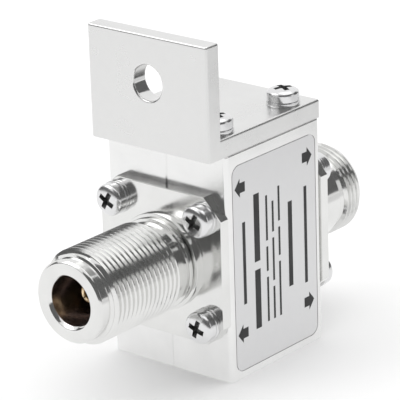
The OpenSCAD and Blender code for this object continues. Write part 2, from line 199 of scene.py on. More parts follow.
class ArrestorFastenerSizes(bpy.types.PropertyGroup):
    """Sizes of the screws and lock washers"""
    screw_r: length("Shank radius", "Radius of the screws' shanks", 1.42)
    screw_tip: length("Tip chamfer", "Chamfer on the screws' tips", 0.25)
    grip: length("Grip", "Length of the shanks inside the block", 5.5)
    head_r: length("Head radius", "Radius of the heads", 2.7)
    head_h: length("Head height", "Height of the heads", 2.1)
    head_side: length("Head side", "Straight part of the heads' sides", 1.1)
    head_edge: length("Head edge", "Broken edge at the heads' undersides", 0.1)
    recess_w: length("Recess width", "Tip-to-tip width of the cross recess", 3.2)
    recess_slot: length("Recess wing", "Width of the recess's wings", 0.9)
    recess_depth: length("Recess depth", "Depth of the cross recess", 1.2)
    washer_r: length("Washer radius", "Outer radius of the lock washers", 2.8)
    washer_hole_r: length("Washer hole", "Inner radius of the lock washers", 1.6)
    washer_t: length("Washer thickness", "Thickness of the lock washers", 0.7)
    washer_split: length("Washer split", "Width of the washers' split", 0.5)
    washer_edge: length("Washer edge", "Width of the washers' broken edges", 0.06)
    row_pitch: length("Bracket screws", "Distance between left and right bracket screws", 17.8)
    front_row: length("Front row", "Front bracket screws behind the block's front", 2.4)
    rear_row: length("Rear row", "Rear bracket screws ahead of the block's rear", 4.8)
    bracket_t: length("Bracket thickness", "Thickness of the plate under the screws", 3.175)


class ArrestorBodySizes(bpy.types.PropertyGroup):
    """Edges of the block and the bracket, and the label's print"""
    block_edge: length("Block edge", "Width of the block's broken edges", 0.18)
    bracket_edge: length("Bracket edge", "Width of the bracket's broken edges", 0.45)
    hole_edge: length("Hole edge", "Width of the broken edges of the bracket's holes", 0.35)
    ink_t: length("Ink thickness", "Height of the print on the label", 0.015)
    arrow_w: length("Arrow width", "Length of the arrows along the label", 2.6)
    arrow_h: length("Arrow height", "Height of the arrows' heads", 3.2)
    arrow_stem: length("Arrow stem", "Height of the arrows' stems", 1.7)


class ArrestorColours(bpy.types.PropertyGroup):
    """Colours of the pieces"""
    block: colour("Block", "Satin plate on the block", (0.83, 0.83, 0.825))
    bracket: colour("Bracket", "Satin finish of the bracket", (0.765, 0.765, 0.76))
    jack: colour("Jacks", "Bright plate on the jacks", (0.77, 0.77, 0.76))
    screw: colour("Screws", "Bright plate on screws and washers", (0.76, 0.76, 0.765))
    # Painted shade: the dark colour of the screws' recesses stands in for the shade inside them
    recess: colour("Recesses", "Dull steel in the screws' recesses", (0.30, 0.30, 0.30))
    label: colour("Label", "Silver foil of the label", (0.72, 0.72, 0.725))
    ink: colour("Ink", "Print on the label", (0.012, 0.012, 0.013))
    gold: colour("Contacts", "Gold plate on the contacts", (0.94, 0.76, 0.50))
    insulator: colour("Insulators", "White of the insulators", (0.80, 0.79, 0.76))
    brass: colour("Line bars", "Brass of the line bars", (0.70, 0.52, 0.25))
    disc: colour("Capacitor", "Ceramic of the capacitor", (0.60, 0.36, 0.16))
    tube: colour("Gas tube", "Ceramic of the gas tube", (0.78, 0.76, 0.72))
    cap: colour("Tube caps", "Steel of the gas tube's caps", (0.60, 0.59, 0.57))
    copper: colour("Coil", "Copper wire of the coil", (0.72, 0.33, 0.18))
    # Painted shade and glow: the sockets' darker, browner colour stands in for the shade and the
    # brown glow inside them
    bore: colour("Sockets", "Dull plate inside the sockets", (0.60, 0.53, 0.50))
    floor: colour("Floor", "Pale floor", (0.99, 0.99, 0.99))
    card: colour("Cards", "Dark cards beside the stage", (0.11, 0.11, 0.11))
    sheet: colour("Sheet", "Grey sheet beside the part", (0.70, 0.70, 0.70))


class ArrestorStageSettings(bpy.types.PropertyGroup):
    """Camera and light"""
    azimuth: FloatProperty(name="Azimuth", description="Camera's turn to the right of the front",
                           default=math.radians(40.185), subtype="ANGLE")
    elevation: FloatProperty(name="Elevation", description="Camera's height above the horizon",
                             default=math.radians(20.004), subtype="ANGLE")
    roll: FloatProperty(name="Roll", description="Camera's roll",
                        default=math.radians(-1.855), subtype="ANGLE")
    distance: length("Distance", "Camera's distance", 475.184)
    aim_z: length("Aim height", "Height of the camera's aim before its shifts", 19)
    aim_left: length("Aim left", "Shift of the camera's aim to the left", 2.744)
    aim_up: length("Aim up", "Shift of the camera's aim upwards", 6.266)
    lens: FloatProperty(name="Lens", description="Focal length in millimetres",
                        default=257.03, min=1, subtype="DISTANCE_CAMERA")
    sky: amount("Surroundings", "Brightness of the white surroundings", 1.0, high=2.0)
    bounce: amount("Bounce", "Share of plain white that the metal sees in the floor", 0.6)


# Helpers for meshes

def turn(bm, profile, sides=TURNED_SIDES):
    """Spins (radius, height) points round Z. Returns the faces that it makes."""
    verts = [bm.verts.new((radius, 0, height)) for radius, height in profile]
    edges = [bm.edges.new(pair) for pair in zip(verts, verts[1:])]
    before = set(bm.faces)
    bmesh.ops.spin(bm, geom=verts + edges, cent=(0, 0, 0), axis=(0, 0, 1), dvec=(0, 0, 0),
                   angle=2 * math.pi, steps=sides, use_merge=True)
    bmesh.ops.remove_doubles(bm, verts=bm.verts[:], dist=WELD)
    return [face for face in bm.faces if face not in before]


def swing(bm, angle):
    """Turns a mesh round Z."""
    bmesh.ops.rotate(bm, verts=bm.verts[:], cent=(0, 0, 0), matrix=Matrix.Rotation(angle, 3, "Z"))


def open_ring(bm, radius, height):
    """The open circle of edges at a radius and a height."""
    def on_it(vert):
        off = abs(math.hypot(vert.co.x, vert.co.y) - radius)
        return off < WELD and abs(vert.co.z - height) < WELD
    return [edge for edge in bm.edges if edge.is_boundary and all(map(on_it, edge.verts))]


def wind_thread(bm, low, high, sizes):
    """Winds a thread form from low to high on Z, with ends that run out to the root.
    Returns the open loops at its low and high ends."""
    sides = TURNED_SIDES
    radius, pitch = sizes.thread_r, sizes.thread_pitch
    root = radius - sizes.thread_depth
    leaves_root, on_crest, leaves_crest, on_root = FLANKS
    form = [(root, 0), (root, leaves_root), (radius, on_crest), (radius, leaves_crest),
            (root, on_root), (root, 1)]
    verts = [bm.verts.new((r, 0, low + share * pitch)) for r, share in form]
    edges = [bm.edges.new(pair) for pair in zip(verts, verts[1:])]
    steps = int((high - low - pitch) / pitch * sides)
    bmesh.ops.spin(bm, geom=verts + edges, cent=(0, 0, 0), axis=(0, 0, 1),
                   dvec=(0, 0, pitch / sides), angle=2 * math.pi * steps / sides,
                   steps=steps, use_merge=False)
    bmesh.ops.remove_doubles(bm, verts=bm.verts[:], dist=WELD)
    top = low + pitch + steps * pitch / sides
    for vert in bm.verts:
        turns_in = min(vert.co.z - low, top - vert.co.z) / pitch
        share = min(1, max(0, (turns_in - THREAD_LEAD) / THREAD_RISE))
        r = math.hypot(vert.co.x, vert.co.y)
        kept = (root + (r - root) * share) / r
        vert.co.x *= kept
        vert.co.y *= kept
    swing(bm, sizes.thread_start)
    middle = (low + top) / 2
    loose = [edge for edge in bm.edges if edge.is_boundary]
    return ([edge for edge in loose if edge.verts[0].co.z < middle],
            [edge for edge in loose if edge.verts[0].co.z > middle])


def break_edges(bm, width, edges, segments=2):
    """Bevels the given edges a little."""
    bmesh.ops.bevel(bm, geom=edges, offset=width, offset_type="OFFSET", segments=segments,
                    profile=0.5, affect="EDGES", material=-1, clamp_overlap=False)


def corners(bm):
    """The edges whose faces turn outwards enough for a corner."""
    return [edge for edge in bm.edges if edge.is_manifold and edge.is_convex
            and edge.calc_face_angle(0) > CORNER]


def close(bm, name):
    """Merges doubles, turns the faces outwards and makes sure that the shell is closed."""
    bmesh.ops.remove_doubles(bm, verts=bm.verts[:], dist=WELD)
    bmesh.ops.recalc_face_normals(bm, faces=bm.faces[:])
    if not all(edge.is_manifold for edge in bm.edges):
        raise RuntimeError(f"{name} isn't closed")


def to_object(name, bm):
    """Makes the bmesh an object at the origin."""
    mesh = bpy.data.meshes.new(name)
    bm.to_mesh(mesh)
    bm.free()
    made = bpy.data.objects.new(name, mesh)
    bpy.context.scene.collection.objects.link(made)
    return made


def boolean(piece, tool, operation):
    """Joins a tool to a piece or cuts it out, and removes the tool."""
    step = piece.modifiers.new("shape", "BOOLEAN")
    step.operation = operation
    step.solver = "EXACT"
    step.object = tool
    graph = bpy.context.evaluated_depsgraph_get()
    made = bpy.data.meshes.new_from_object(piece.evaluated_get(graph))
    piece.modifiers.remove(step)
    # A cut can leave points that lie on each other
    bm = bmesh.new()
    bm.from_mesh(made)
    bmesh.ops.remove_doubles(bm, verts=bm.verts[:], dist=WELD)
    bm.to_mesh(made)
    bm.free()
    old = piece.data
    piece.data = made
    bpy.data.meshes.remove(old)
    bpy.data.objects.remove(tool)


def solid_copy(node):
    """A merged copy of a solid's mesh, with its flat faces whole."""
    bm = bmesh.new()
    bm.from_mesh(frame["nodes"][node].data)
    bmesh.ops.remove_doubles(bm, verts=bm.verts[:], dist=WELD)
    bmesh.ops.dissolve_limit(bm, angle_limit=FLAT, use_dissolve_boundaries=False,
                             verts=bm.verts[:], edges=bm.edges[:], delimit=set())
    return bm


def shade(piece, even=False):
    """Shades a piece smooth up to its sharp edges; even keeps wide flat faces flat."""
    bm = bmesh.new()
    bm.from_mesh(piece.data)
    for face in bm.faces:
        face.smooth = True
    for edge in bm.edges:
        edge.smooth = edge.is_manifold and edge.calc_face_angle(0) < SHARP
    bm.to_mesh(piece.data)
    bm.free()
    if even:
        piece.modifiers.new("flat faces", "WEIGHTED_NORMAL").keep_sharp = True


def second_finish(piece, material, enough, inside):
    """Gives a finish of their own to the faces with enough points inside: all or any."""
    while len(piece.data.materials) < 2:
        piece.data.materials.append(material)
    held = [inside(vert.co) for vert in piece.data.vertices]
    for face in piece.data.polygons:
        if enough(held[i] for i in face.vertices):
            face.material_index = 1


def paint_bore_shade(piece, material, radius, tip):
    """Gives the inside of a jack's bore its darker, browner finish, painted shade with a painted
    brown glow, before the jack is stood up.
    """
    second_finish(piece, material, all,
                  lambda co: math.hypot(co.x, co.y) < radius and co.z < tip)


def line_hole(piece, material, middle, radius):
    """Finishes the inside of a hole along Y."""
    second_finish(piece, material, all,
                  lambda co: math.hypot(co.x - middle.x, co.z - middle.z) < radius)


def paint_recess_shade(screw, material, sizes):
    """Gives the faces in a screw's cross recess their dark finish, which is painted shade."""
    floor_z = sizes.head_h - sizes.recess_depth / 2
    second_finish(screw, material, any,
                  lambda co: math.hypot(co.x, co.y) < sizes.recess_w / 2 and 0 < co.z < floor_z)


def settle(piece, material, slot, *nodes):
    """Gives a piece its finish, rides it on the part and lets it stand for its solids."""
    if piece.data.materials:
        piece.data.materials[0] = material
    else:
        piece.data.materials.append(material)
    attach(piece, "root")
    if nodes:
        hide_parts(*nodes)


def repeat(name, model, places):
    """One piece with a copy of the model's mesh at each place; the model is removed."""
    bm = bmesh.new()
    for place in places:
        copy = model.data.copy()
        copy.transform(place)
        bm.from_mesh(copy)
        bpy.data.meshes.remove(copy)
    bpy.data.objects.remove(model)
    return to_object(name, bm)


# Helpers for finishes

def new_finish(name):
    """The material of that name, with its node tree and shader."""
    material = bpy.data.materials.get(name) or bpy.data.materials.new(name)
    material.use_nodes = True
    tree = material.node_tree
    return material, tree, tree.nodes["Principled BSDF"]


def pattern(tree, scale, detail):
    """A noise on the piece's own coordinates. Returns its factor."""
    place = tree.nodes.new("ShaderNodeTexCoord")
    noise = tree.nodes.new("ShaderNodeTexNoise")
    noise.inputs["Scale"].default_value = scale
    noise.inputs["Detail"].default_value = detail
    tree.links.new(place.outputs["Object"], noise.inputs["Vector"])
    return noise.outputs["Fac"]


def spread(tree, factor, low, high):
    """A factor's middle range, mapped to low and high."""
    node = tree.nodes.new("ShaderNodeMapRange")
    node.inputs["From Min"].default_value = NOISE_LOW
    node.inputs["From Max"].default_value = NOISE_HIGH
    node.inputs["To Min"].default_value = low
    node.inputs["To Max"].default_value = high
    tree.links.new(factor, node.inputs["Value"])
    return node.outputs["Result"]


def tint(tree, factor, shade, change):
    """A shade that varies by a small change with a factor."""
    mix = tree.nodes.new("ShaderNodeMix")
    mix.data_type = "RGBA"
    mix.inputs[MIX_A].default_value = (*(c * (1 - change) for c in shade), 1)
    mix.inputs[MIX_B].default_value = (*(min(1, c * (1 + change)) for c in shade), 1)
    tree.links.new(factor, mix.inputs["Factor"])
    return mix.outputs[MIX_RESULT]


def bump(tree, shader, height, distance):
    """Raises the surface by a height pattern."""
    node = tree.nodes.new("ShaderNodeBump")
    node.inputs["Distance"].default_value = distance
    node.inputs["Strength"].default_value = GRAIN_STRENGTH
    tree.links.new(height, node.inputs["Height"])
    tree.links.new(node.outputs["Normal"], shader.inputs["Normal"])


def grained_finish(name, shade, metallic, grain, depth, cloud_scale, change):
    """A surface with a fine grain, and a tone and a roughness that vary a little in clouds."""
    material, tree, shader = new_finish(name)
    shader.inputs["Metallic"].default_value = metallic
    fine = pattern(tree, grain, GRAIN_DETAIL)
    cloud = pattern(tree, cloud_scale, CLOUD_DETAIL)
    if change:
        tree.links.new(tint(tree, spread(tree, cloud, 0, 1), shade, change),
                       shader.inputs["Base Color"])
    else:
        shader.inputs["Base Color"].default_value = (*shade, 1)
    low, high = (ROUGHNESS[name] * (1 + part) for part in (-ROUGHNESS_CHANGE, ROUGHNESS_CHANGE))
    tree.links.new(spread(tree, cloud, low, high), shader.inputs["Roughness"])
    bump(tree, shader, fine, depth)
    return material


def metal_finish(name, shade, grain=4000.0):
    """Plated or bare metal."""
    return grained_finish(name, shade, metallic=1.0, grain=grain, depth=2e-6,
                          cloud_scale=220.0, change=0.03)


def plain_finish(name, shade, grain=2500.0, change=0.05):
    """A surface that isn't metal."""
    return grained_finish(name, shade, metallic=0.0, grain=grain, depth=3e-6,
                          cloud_scale=300.0, change=change)


class DressOperator:
    """What the operators share"""
    bl_options = {"REGISTER", "UNDO"}


class ARRESTOR_OT_block(DressOperator, bpy.types.Operator):
    """Breaks the edges of the block's two halves and plates them"""
    bl_idname = "arrestor.block"
    bl_label = "Block halves"

    # How far a point of the upper or lower rim may lie inside the sides and the front or rear
    side_depth = 1.0 * MM
    face_depth = 0.9 * MM

    def execute(self, context):
        width = context.scene.arrestor_body.block_edge
        finish = metal_finish("block_plate", context.scene.arrestor_colours.block)

        def on_rim(vert):
            outside = (abs(vert.co.x) > BLOCK_HIGH.x - self.side_depth
                       or abs(vert.co.y) > REAR_Y - self.face_depth)
            return outside and min(abs(vert.co.z), abs(vert.co.z - BLOCK_TOP)) < WELD
        for side in ("right", "left"):
            node = f"housing_{side}"
            bm = solid_copy(node)
            rims = [edge for edge in corners(bm) if all(map(on_rim, edge.verts))]
            break_edges(bm, width, rims, segments=3)
            piece = to_object(f"block_half_{side}", bm)
            shade(piece, even=True)
            settle(piece, finish, "block_metal", node)
        return {"FINISHED"}


class ARRESTOR_OT_bracket(DressOperator, bpy.types.Operator):
    """Breaks the bracket's edges and gives it a satin finish"""
    bl_idname = "arrestor.bracket"
    bl_label = "Mounting bracket"

    def execute(self, context):
        sizes = context.scene.arrestor_body
        bm = solid_copy("mounting_bracket")
        # The holes' rims and the outer edges are broken by different widths
        rims = [edge for edge in corners(bm) if edge.calc_length() < RIM_EDGE]
        break_edges(bm, sizes.hole_edge, rims, segments=4)
        # The edges that lie on the block stay sharp, so that no groove shows there
        outer = [edge for edge in corners(bm) if edge.calc_length() > RIM_EDGE
                 and any(abs(vert.co.z - BLOCK_TOP) > WELD for vert in edge.verts)]
        break_edges(bm, sizes.bracket_edge, outer, segments=6)
        piece = to_object("bracket_angle", bm)
        shade(piece, even=True)
        satin = context.scene.arrestor_colours.bracket
        hole = next(mount for mount in frame["record"]["mounts"] if mount["name"] == "bracket_hole")
        line_hole(piece, metal_finish("hole_plate", satin), Vector(hole["pos_m"]),
                  hole["dims"]["r_mm"] * MM + sizes.hole_edge)
        settle(piece, metal_finish("bracket_satin", satin), "bracket_metal", "mounting_bracket")
        return {"FINISHED"}


class ARRESTOR_OT_label(DressOperator, bpy.types.Operator):
    """Gives the label its foil, and prints plain arrows and bars on it"""
    bl_idname = "arrestor.label"
    bl_label = "Label"

    # Arrows as (place along Y, height, direction along Y), in shares of the label
    arrows = ((0.085, 0.89, -1), (0.90, 0.90, 1), (0.085, 0.18, -1), (0.90, 0.18, 1))
    # Columns of upright bars as (place along Y, width, then each bar's lower and upper end),
    # in shares of the label
    columns = ((0.120, 0.034, (0.32, 0.72)),
               (0.275, 0.066, (0.17, 0.46), (0.50, 0.83)),
               (0.395, 0.022, (0.18, 0.40), (0.43, 0.55), (0.58, 0.80)),
               (0.470, 0.022, (0.18, 0.34), (0.37, 0.58), (0.61, 0.76)),
               (0.545, 0.022, (0.18, 0.45), (0.48, 0.62), (0.65, 0.82)),
               (0.680, 0.050, (0.30, 0.72)),
               (0.870, 0.034, (0.28, 0.76)))

    def execute(self, context):
        sizes = context.scene.arrestor_body
        colours = context.scene.arrestor_colours
        plate = frame["nodes"]["label_plate"]
        plate.data.materials.clear()
        plate.data.materials.append(metal_finish("label_foil", colours.label, grain=7000.0))
        span = LABEL_HIGH - LABEL_LOW
        bm = bmesh.new()
        for along, up, way in self.arrows:
            mid_y = LABEL_LOW.y + along * span.y
            mid_z = LABEL_LOW.z + up * span.z
            half = way * sizes.arrow_w / 2
            stem, head = sizes.arrow_stem / 2, sizes.arrow_h / 2
            points = ((-half, -stem), (0, -stem), (0, -head), (half, 0), (0, head),
                      (0, stem), (-half, stem))
            bm.faces.new([bm.verts.new((LABEL_HIGH.x, mid_y + y, mid_z + z)) for y, z in points])
        for along, width, *bars in self.columns:
            half = width * span.y / 2
            mid_y = LABEL_LOW.y + along * span.y
            for ends in bars:
                low_z, high_z = (LABEL_LOW.z + share * span.z for share in ends)
                points = ((mid_y - half, low_z), (mid_y + half, low_z),
                          (mid_y + half, high_z), (mid_y - half, high_z))
                bm.faces.new([bm.verts.new((LABEL_HIGH.x, y, z)) for y, z in points])
        raised = bmesh.ops.extrude_face_region(bm, geom=bm.faces[:], use_keep_orig=True)["geom"]
        bmesh.ops.translate(bm, vec=(sizes.ink_t, 0, 0),
                            verts=[v for v in raised if isinstance(v, bmesh.types.BMVert)])
        close(bm, "the print")
        ink = plain_finish("label_ink", colours.ink)
        settle(to_object("label_print", bm), ink, "label_foil")
        return {"FINISHED"}


def jack_solid(name, reach, outline, thread_low, thread_high, sizes):
    """A flanged jack round Z: outline runs from the flange to the thread's low end, then the
    second list from its high end to the tip."""
    to_thread, to_tip = outline
    bm = bmesh.new()
    low_loop, high_loop = wind_thread(bm, thread_low, thread_high, sizes)
    flare = sizes.mouth_r - sizes.socket_r
    middle = sizes.flange_t / 2
    bore = [(sizes.mouth_r, reach), (sizes.socket_r, reach - flare),
            (sizes.socket_r, reach - sizes.socket_depth),
            (sizes.line_bore_r, reach - sizes.socket_depth),
            (sizes.line_bore_r, sizes.seat_end), (sizes.seat_r, sizes.seat_end),
            (sizes.seat_r, -sizes.spigot_len), (sizes.spigot_r, -sizes.spigot_len),
            (sizes.spigot_r, middle)]
    body = turn(bm, to_tip + bore + [(to_thread[0][0], middle)] + to_thread)
    rims = {edge for face in body for edge in face.edges if edge.is_manifold}
    break_edges(bm, sizes.edge, [edge for edge in rims if edge.calc_face_angle(0) > CORNER])
    bmesh.ops.bridge_loops(bm, edges=low_loop + open_ring(bm, *to_thread[-1]))
    bmesh.ops.bridge_loops(bm, edges=high_loop + open_ring(bm, *to_tip[0]))
    close(bm, name)
    barrel = to_object(f"{name}_barrel", bm)

    bm = bmesh.new()
    bmesh.ops.create_cube(bm, size=1.0)
    bmesh.ops.scale(bm, vec=(FLANGE_SIDE, FLANGE_SIDE, sizes.flange_t), verts=bm.verts[:])
    bmesh.ops.translate(bm, vec=(0, 0, middle), verts=bm.verts[:])
    upright = [e for e in bm.edges if abs(e.verts[0].co.z - e.verts[1].co.z) > WELD]
    # A bevel of one segment cuts each corner straight across
    break_edges(bm, sizes.flange_cut, upright, segments=1)
    # The edges against the block stay sharp, so that no groove shows there
    outer = [e for e in bm.edges if all(vert.co.z > middle for vert in e.verts)]
    break_edges(bm, sizes.flange_edge, outer)
    close(bm, f"{name} flange")
    piece = to_object(name, bm)

    bm = bmesh.new()
    half = sizes.screw_pitch / 2
    holes = [(x * half, y * half, sizes.screw_hole_r) for x in (-1, 1) for y in (-1, 1)]
    # The middle hole ends inside the barrel's wall, and the cutters reach through the flange
    for x, y, radius in holes + [(0, 0, (sizes.seat_r + sizes.spigot_r) / 2)]:
        bmesh.ops.create_cone(bm, cap_ends=True, segments=SMALL_SIDES, radius1=radius,
                              radius2=radius, depth=4 * sizes.flange_t,
                              matrix=Matrix.Translation((x, y, middle)))
    boolean(piece, to_object("flange_holes", bm), "DIFFERENCE")
    boolean(piece, barrel, "UNION")
    return piece


class ARRESTOR_OT_jacks(DressOperator, bpy.types.Operator):
    """Turns the two jacks, with their coupling threads"""
    bl_idname = "arrestor.jacks"
    bl_label = "Jacks"

    def execute(self, context):
        sizes = context.scene.arrestor_jack
        barrel = context.scene.arrestor_barrel
        finish = metal_finish("jack_plate", context.scene.arrestor_colours.jack)
        # The sockets' darker, browner colour is painted shade with a painted brown glow inside them
        bore = metal_finish("bore_painted_shade", context.scene.arrestor_colours.bore)
        flare = sizes.mouth_r - sizes.socket_r

        shoulder = sizes.flange_t + barrel.shoulder_len
        ring = shoulder + barrel.ring_gap
        ring_end = ring + barrel.ring_len
        front_thread = sizes.flange_t + barrel.neck_len
        pilot = FRONT_REACH - barrel.pilot_len
        neck_side = [(barrel.shoulder_r, shoulder), (barrel.neck_r, shoulder),
                     (barrel.neck_r, ring), (barrel.ring_r, ring),
                     (barrel.ring_r, ring_end), (barrel.neck_r, ring_end),
                     (barrel.neck_r, front_thread - barrel.chamfer)]
        pilot_side = [(barrel.pilot_r, pilot),
                      (barrel.pilot_r, FRONT_REACH - barrel.chamfer),
                      (barrel.pilot_r - barrel.chamfer, FRONT_REACH)]

        groove = sizes.flange_t + barrel.shank_len
        rear_thread = groove + barrel.groove_len
        cone = REAR_REACH - barrel.cone_len
        shank_side = [(barrel.shank_r, groove - barrel.chamfer), (barrel.groove_r, groove),
                      (barrel.groove_r, rear_thread - barrel.chamfer)]
        cone_side = [(sizes.thread_r - barrel.cone_drop, cone),
                     (sizes.thread_r - barrel.face_drop, REAR_REACH)]

        jacks = (("antenna", FRONT_REACH, ON_FRONT, (neck_side, pilot_side), front_thread, pilot),
                 ("equipment", REAR_REACH, ON_REAR, (shank_side, cone_side), rear_thread, cone))
        for name, reach, stand, outline, low, high in jacks:
            piece = jack_solid(f"{name}_jack_turned", reach, outline, low, high, sizes)
            paint_bore_shade(piece, bore, sizes.mouth_r - flare / 2, reach - flare / 2)
            piece.data.transform(stand)
            shade(piece, even=True)
            settle(piece, finish, "plated_brass", f"{name}_jack")
        return {"FINISHED"}


class ARRESTOR_OT_contacts(DressOperator, bpy.types.Operator):
    """Turns the slotted gold contacts, and finishes the white insulators"""
    bl_idname = "arrestor.contacts"
    bl_label = "Contacts and insulators"

    # Step of the rounded nose's outline, in degrees
    nose_step = 20

    def execute(self, context):
        sizes = context.scene.arrestor_contact
        colours = context.scene.arrestor_colours
        wall = context.scene.arrestor_jack.spigot_len
        gold = metal_finish("contact_gold", colours.gold)
        white = plain_finish("insulator_white", colours.insulator)
        for name, reach, stand in (("antenna", FRONT_REACH, ON_FRONT),
                                   ("equipment", REAR_REACH, ON_REAR)):
            tip = reach - sizes.recess
            bottom = tip - sizes.hole_depth
            r = sizes.contact_r
            wall_t = r - sizes.hole_r
            nose = [(r - wall_t * (1 - math.cos(math.radians(angle))) / 2,
                     tip - sizes.nose * (1 - math.sin(math.radians(angle))))
                    for angle in range(0, 181, self.nose_step)]
            bm = bmesh.new()
            turn(bm, [(0, -wall - sizes.tail_len), (r, -wall - sizes.tail_len), (r, -wall),
                      (sizes.collar_r, -wall), (sizes.collar_r, -wall + sizes.collar_len),
                      (r, -wall + sizes.collar_len)] + nose
                 + [(sizes.hole_r, bottom), (0, bottom)], SMALL_SIDES)
            close(bm, f"{name} contact")
            piece = to_object(f"{name}_contact_slotted", bm)
            for angle in CROSS:
                bm = bmesh.new()
                bmesh.ops.create_cube(bm, size=1.0)
                # Wider than the contact, and half above its tip
                bmesh.ops.scale(bm, vec=(4 * r, sizes.slot_w, 2 * sizes.slot_len),
                                verts=bm.verts[:])
                swing(bm, math.radians(angle))
                bmesh.ops.translate(bm, vec=(0, 0, tip), verts=bm.verts[:])
                boolean(piece, to_object("slot", bm), "DIFFERENCE")
            piece.data.transform(stand)
            shade(piece)
            settle(piece, gold, "contact_gold", f"{name}_contact")
            bead = frame["nodes"][f"{name}_insulator"]
            bead.data.materials.clear()
            bead.data.materials.append(white)
        return {"FINISHED"}


def pan_screw(sizes, reach):
    """A pan-head screw round Z with a cross recess; the head's underside is at zero."""
    rise = sizes.head_h - sizes.head_side
    # A power under 1 makes the crown a little squarer than a round one, as a pan head is
    crown_steps, crown_power = 12, 0.8
    crown = []
    for step in range(crown_steps):
        turned = math.radians(90) * step / crown_steps
        crown.append((sizes.head_r * math.cos(turned) ** crown_power,
                      sizes.head_side + rise * math.sin(turned) ** crown_power))
    crown.append((0, sizes.head_h))
    r = sizes.screw_r
    bm = bmesh.new()
    turn(bm, [(0, -reach), (r - sizes.screw_tip, -reach), (r, -reach + sizes.screw_tip),
              (r, 0), (sizes.head_r - sizes.head_edge, 0),
              (sizes.head_r, sizes.head_edge)] + crown, SMALL_SIDES)
    close(bm, "a screw")
    screw = to_object("screw", bm)
    # Shares of the wings' length and width at their bottom, as a driver's tip narrows
    wing_taper = (0.5, 0.7)
    for angle in CROSS:
        bm = bmesh.new()
        bmesh.ops.create_cube(bm, size=1.0)
        floor = [vert for vert in bm.verts if vert.co.z < 0]
        # Tapered, so that the wings have their stated size at the crown
        bmesh.ops.scale(bm, vec=(*wing_taper, 1), verts=floor)
        wide, thick = (2 / (1 + taper) for taper in wing_taper)
        bmesh.ops.scale(bm, vec=(sizes.recess_w * wide, sizes.recess_slot * thick,
                                 2 * sizes.recess_depth), verts=bm.verts[:])
        swing(bm, math.radians(angle))
        bmesh.ops.translate(bm, vec=(0, 0, sizes.head_h), verts=bm.verts[:])
        boolean(screw, to_object("recess", bm), "DIFFERENCE")
    return screw


def lock_washer(sizes):
    """A split lock washer round Z that rests on zero."""
    inner, outer, high = sizes.washer_hole_r, sizes.washer_r, sizes.washer_t
    gap = sizes.washer_split / outer
    bm = bmesh.new()
    section = bm.faces.new([bm.verts.new((r, 0, z)) for r, z in
                            ((inner, 0), (outer, 0), (outer, high), (inner, high))])
    swing(bm, gap / 2)
    bmesh.ops.spin(bm, geom=[section], cent=(0, 0, 0), axis=(0, 0, 1), dvec=(0, 0, 0),
                   angle=2 * math.pi - gap, steps=SMALL_SIDES, use_merge=False)
    bmesh.ops.recalc_face_normals(bm, faces=bm.faces[:])
    break_edges(bm, sizes.washer_edge, corners(bm))
    close(bm, "a washer")
    return to_object("washer", bm)


class ARRESTOR_OT_fasteners(DressOperator, bpy.types.Operator):
    """Makes the screws and the split lock washers"""
    bl_idname = "arrestor.fasteners"
    bl_label = "Screws and lock washers"

    # How far each screw of a group is turned, in degrees
    turns = (22, 16, 27, 20)
    # How far the washers are turned, in degrees, so that no split shows beside the label
    washer_turn = 200

    def execute(self, context):
        sizes = context.scene.arrestor_fastener
        jack = context.scene.arrestor_jack
        colours = context.scene.arrestor_colours
        finish = metal_finish("screw_plate", colours.screw)
        # The recesses get a dark colour that paints in the shade inside them
        painted_recess_shade = metal_finish("recess_painted_shade", colours.recess)
        half = jack.screw_pitch / 2
        square = [(x * half, y * half) for x in (-1, 1) for y in (-1, 1)]
        rows = [(x * sizes.row_pitch / 2, y) for x in (-1, 1)
                for y in (FRONT_Y + sizes.front_row, REAR_Y - sizes.rear_row)]
        groups = (("bracket", "bracket_screws", ON_TOP, rows, sizes.bracket_t),
                  ("antenna", "antenna_flange_screws", ON_FRONT, square, jack.flange_t),
                  ("equipment", "equipment_flange_screws", ON_REAR, square, jack.flange_t))
        turned = [Matrix.Rotation(math.radians(angle), 4, "Z") for angle in self.turns]
        washer_turned = Matrix.Rotation(math.radians(self.washer_turn), 4, "Z")
        for name, screws, stand, spots, plate in groups:
            seats = [stand @ Matrix.Translation((x, y, plate)) for x, y in spots]
            screw = pan_screw(sizes, sizes.washer_t + plate + sizes.grip)
            paint_recess_shade(screw, painted_recess_shade, sizes)
            piece = repeat(f"{name}_pan_screws", screw,
                           [seat @ Matrix.Translation((0, 0, sizes.washer_t)) @ turn_by
                            for seat, turn_by in zip(seats, turned)])
            piece.data.materials.append(finish)
            piece.data.materials.append(painted_recess_shade)
            shade(piece)
            settle(piece, finish, "screw_steel", screws)
            piece = repeat(f"{name}_split_washers", lock_washer(sizes),
                           [seat @ washer_turned for seat in seats])
            shade(piece)
            settle(piece, finish, "screw_steel", f"{name}_lock_washers")
        return {"FINISHED"}


class ARRESTOR_OT_circuit(DressOperator, bpy.types.Operator):
    """Finishes the surge circuit inside the block"""
    bl_idname = "arrestor.circuit"
    bl_label = "Surge circuit"

    def execute(self, context):
        colours = context.scene.arrestor_colours
        brass = metal_finish("line_brass", colours.brass)
        steel = metal_finish("tube_cap_steel", colours.cap)
        finishes = {
            "antenna_line_bar": brass,
            "equipment_line_bar": brass,
            "blocking_capacitor": plain_finish("capacitor_ceramic", colours.disc),
            "gas_tube_body": plain_finish("tube_ceramic", colours.tube),
            "gas_tube_line_cap": steel,
            "gas_tube_ground_cap": steel,
            "bleed_coil": metal_finish("coil_copper", colours.copper),
        }
        for node, finish in finishes.items():
            slots = frame["nodes"][node].data.materials
            slots.clear()
            slots.append(finish)
        return {"FINISHED"}


